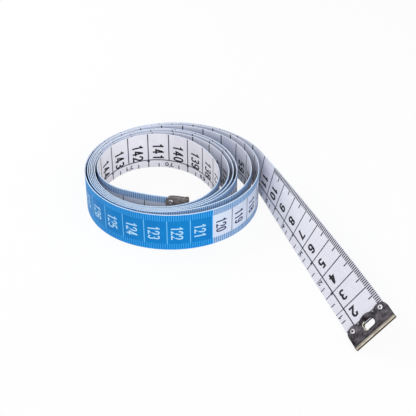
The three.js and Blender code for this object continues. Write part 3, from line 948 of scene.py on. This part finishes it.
def buildClip(name, atStart, leaf):
    # leaves, fold and lips gathered in clip space, then set on the tape's end
    inset, radius, count = clip["rivetInset"], clip["rivetHole"], clip["holePoints"] + 1
    holes = [circlePath(inset, y, radius, 0, 2 * math.pi, count)[:-1] for y in clip["rivetHeights"]]
    thickness = clip["leafOuter"] - clip["leafInner"]
    plate, plateFaces = flatPlate([leafOutline(), slotPath(0)] + holes, thickness, clip["leafBevel"])
    plateSlots = np.full(len(plateFaces), clipSlots["leaf"])
    level = np.array([0, 0, (clip["leafOuter"] + clip["leafInner"]) / 2])
    parts = [(plate + level, plateFaces, plateSlots), (plate - level, plateFaces, plateSlots),
             foldBead(), slotLip(1), slotLip(-1)]
    faces, count = [], 0
    for points, some, _ in parts:
        faces += [tuple(int(corner) + count for corner in face) for face in some]
        count += len(points)
    points = np.vstack([points for points, _, _ in parts])
    slots = np.concatenate([slots for _, _, slots in parts])
    return endPiece(name, atStart, points, faces, [leaf, foldHighlightMetal, foldShadeBrown, lipHighlightMetal], slots)


rivet = {
    "sides": 36,
    # (radius, height) from the bore out over the rolled rim and in under the head
    "rim": ((0.36, 0.0), (0.36, 0.80), (0.40, 0.98), (0.50, 1.09), (0.66, 1.15), (0.82, 1.14), (0.97, 1.06),
            (1.09, 0.93), (1.17, 0.80), (1.20, 0.70), (1.18, 0.65), (1.10, 0.63), (0.66, 0.63), (0.66, 0.0)),
}


def buildRivet(name, atStart, height):
    # the rim's profile and its mirror turned about the rivet's axis: a closed ring of quads
    rim = np.array(rivet["rim"])
    profile = np.vstack([rim, rim[1:-1][::-1] * [1, -1]])
    angle = np.linspace(0, 2 * np.pi, rivet["sides"], endpoint=False)
    x = clip["rivetInset"] + profile[None, :, 0] * np.cos(angle)[:, None]
    y = height + profile[None, :, 0] * np.sin(angle)[:, None]
    z = np.broadcast_to(profile[None, :, 1], x.shape)
    points = np.stack([x, y, z], axis=-1).reshape(-1, 3)
    return endPiece(name, atStart, points, ringQuads(len(x), len(profile), closed=True), [rivetMetal])


for end, node, atStart, leaf in (("FreeEnd", "free_end", True, leafMetal),
                                 ("CoilEnd", "coil_end", False, innerMetal)):
    finishPiece(buildClip("clip" + end, atStart, leaf), "clip", "clip_" + node)
    for label, height in zip(("Lower", "Upper"), clip["rivetHeights"]):
        finishPiece(buildRivet("rivet" + end + label, atStart, height), "rivet",
                    "rivet_" + node + "_" + label.lower())
print("clips and rivets made")

# studio: pale floor, soft light, the photograph's camera
studio = {
    "floorHalf": 2500.0, "floorDrop": 0.05, "floorGrey": (246, 246, 246), "floorGlow": 0.9,
    "skyTint": (0.97, 0.98, 1.0), "skyLight": 0.42,
    # area lamps as (name, power in watts, place, size in metres)
    "lamps": (("keyLamp", 4.75, (-40.0, -855.0, 330.0), 0.9),
              ("fillLamp", 2.8, (560.0, -420.0, 520.0), 0.8),
              ("sideLamp", 1.0, (-300.0, 190.0, 300.0), 0.35)),
    "camera": (15.9685, -360.7768, 270.4934), "tilt": 37.3494, "lens": 84.497,
    "sensor": 36.0, "clipNear": 0.01, "clipFar": 50.0,
}


def seenWhite(tree):
    # 1 for rays from the camera, a mirror-like bounce or a see-through one, else 0
    path = tree.nodes.new("ShaderNodeLightPath")
    both = addMath(tree, "ADD", path.outputs["Is Camera Ray"], path.outputs["Is Glossy Ray"])
    return addMath(tree, "ADD", both, path.outputs["Is Transmission Ray"], clamp=True)


def mixToSurface(tree, output, factor, first, second):
    # two shaders mixed by a factor socket, into an output node's surface
    mix = tree.nodes.new("ShaderNodeMixShader")
    for socket, source in zip(mix.inputs, (factor, first.outputs[0], second.outputs[0])):
        tree.links.new(source, socket)
    tree.links.new(mix.outputs[0], tree.nodes[output].inputs["Surface"])


def buildFloor():
    # one large level square under the object, mostly white to the camera yet still taking the shadow
    half, drop = studio["floorHalf"], -studio["floorDrop"]
    corners = np.array([[-half, -half, drop], [half, -half, drop], [half, half, drop], [-half, half, drop]])
    material = bpy.data.materials.new("paperFloor")
    material.use_nodes = True
    tree = material.node_tree
    tree.nodes.remove(tree.nodes["Principled BSDF"])
    lit = tree.nodes.new("ShaderNodeBsdfDiffuse")
    lit.inputs["Color"].default_value = (*linear(studio["floorGrey"]), 1)
    glow = tree.nodes.new("ShaderNodeEmission")
    glow.inputs["Color"].default_value = (1, 1, 1, 1)
    share = addMath(tree, "MULTIPLY", seenWhite(tree), studio["floorGlow"])
    mixToSurface(tree, "Material Output", share, lit, glow)
    floor = makePiece("floor", corners, [(0, 1, 2, 3)], [material], smooth=False)


def buildSky():
    # white where it is seen, a plain soft light where it lights
    world = bpy.data.worlds.new("softSky")
    scene.world = world
    world.use_nodes = True
    tree = world.node_tree
    light = tree.nodes["Background"]
    light.inputs["Color"].default_value = (*studio["skyTint"], 1)
    light.inputs["Strength"].default_value = studio["skyLight"]
    seen = tree.nodes.new("ShaderNodeBackground")
    seen.inputs["Color"].default_value = (1, 1, 1, 1)
    seen.inputs["Strength"].default_value = 1.0
    mixToSurface(tree, "World Output", seenWhite(tree), light, seen)


def addLamp(name, power, place, size):
    # a square area lamp that looks at the object's middle
    lamp = bpy.data.lights.new(name, "AREA")
    lamp.energy = power
    lamp.size = size
    holder = bpy.data.objects.new(name, lamp)
    holder.location = tuple((np.array(place) + shift * [1, 1, 0]) * mm)
    holder.rotation_euler = (-mathutils.Vector(place)).to_track_quat("-Z", "Y").to_euler()
    scene.collection.objects.link(holder)


def addCamera():
    # the photograph's viewpoint: straight ahead along y, tilted down, no roll
    camera = bpy.data.cameras.new("photoCamera")
    camera.lens = studio["lens"]
    camera.sensor_width = studio["sensor"]
    camera.clip_start = studio["clipNear"]
    camera.clip_end = studio["clipFar"]
    holder = bpy.data.objects.new("photoCamera", camera)
    holder.location = tuple((np.array(studio["camera"]) + shift) * mm)
    holder.rotation_euler = (math.radians(90 - studio["tilt"]), 0, 0)
    scene.collection.objects.link(holder)
    scene.camera = holder


buildFloor()
buildSky()
for lampRow in studio["lamps"]:
    addLamp(*lampRow)
addCamera()
print("studio set")
